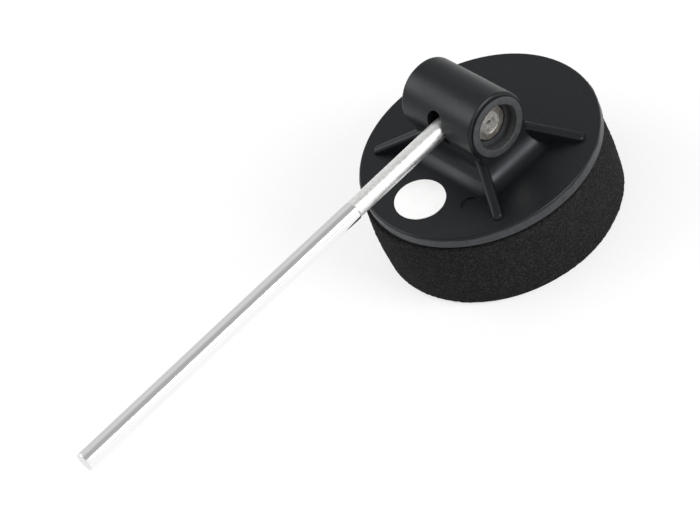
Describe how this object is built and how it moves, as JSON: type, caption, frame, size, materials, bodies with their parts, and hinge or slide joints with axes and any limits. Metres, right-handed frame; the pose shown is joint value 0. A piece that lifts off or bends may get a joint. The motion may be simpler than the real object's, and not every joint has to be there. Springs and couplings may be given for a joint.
{
  "type": "cajon mallet",
  "caption": "Foam-faced round beater head that swivels on a straight steel rod, for a cajon pedal.",
  "frame": {"origin": "on the foam's flat striking face, straight under the middle of the head", "axes": "+Z from the striking face towards the swivel housing, +X along the swivel axis, the rod leaves along -Y at rest"},
  "size_m": [0.096, 0.2455, 0.0694],
  "materials": {
    "head_plastic": "moulded, soft sheen",
    "bush_plastic": "matt",
    "barrel_steel": "turned",
    "rod_plating": "polished plating, satin neck",
    "screw_steel": "blackened",
    "label_film": "blank sticker",
    "adhesive": "clear film",
    "foam": "fine open cells"
  },
  "bodies": {
    "head": {"head_shell": "head_plastic", "near_bush": "bush_plastic", "far_bush": "bush_plastic", "adhesive_film": "adhesive", "foam_pad": "foam", "oval_label": "label_film"},
    "shaft": {"beater_rod": "rod_plating", "pivot_barrel": "barrel_steel", "locking_screw": "screw_steel"}
  },
  "joints": [
    {"name": "head_swivel", "type": "hinge", "parent": "head", "child": "shaft", "pos_m": [0, 0, 0.0558], "axis": [1, 0, 0], "range_deg": [-20, 15]}
  ]
}
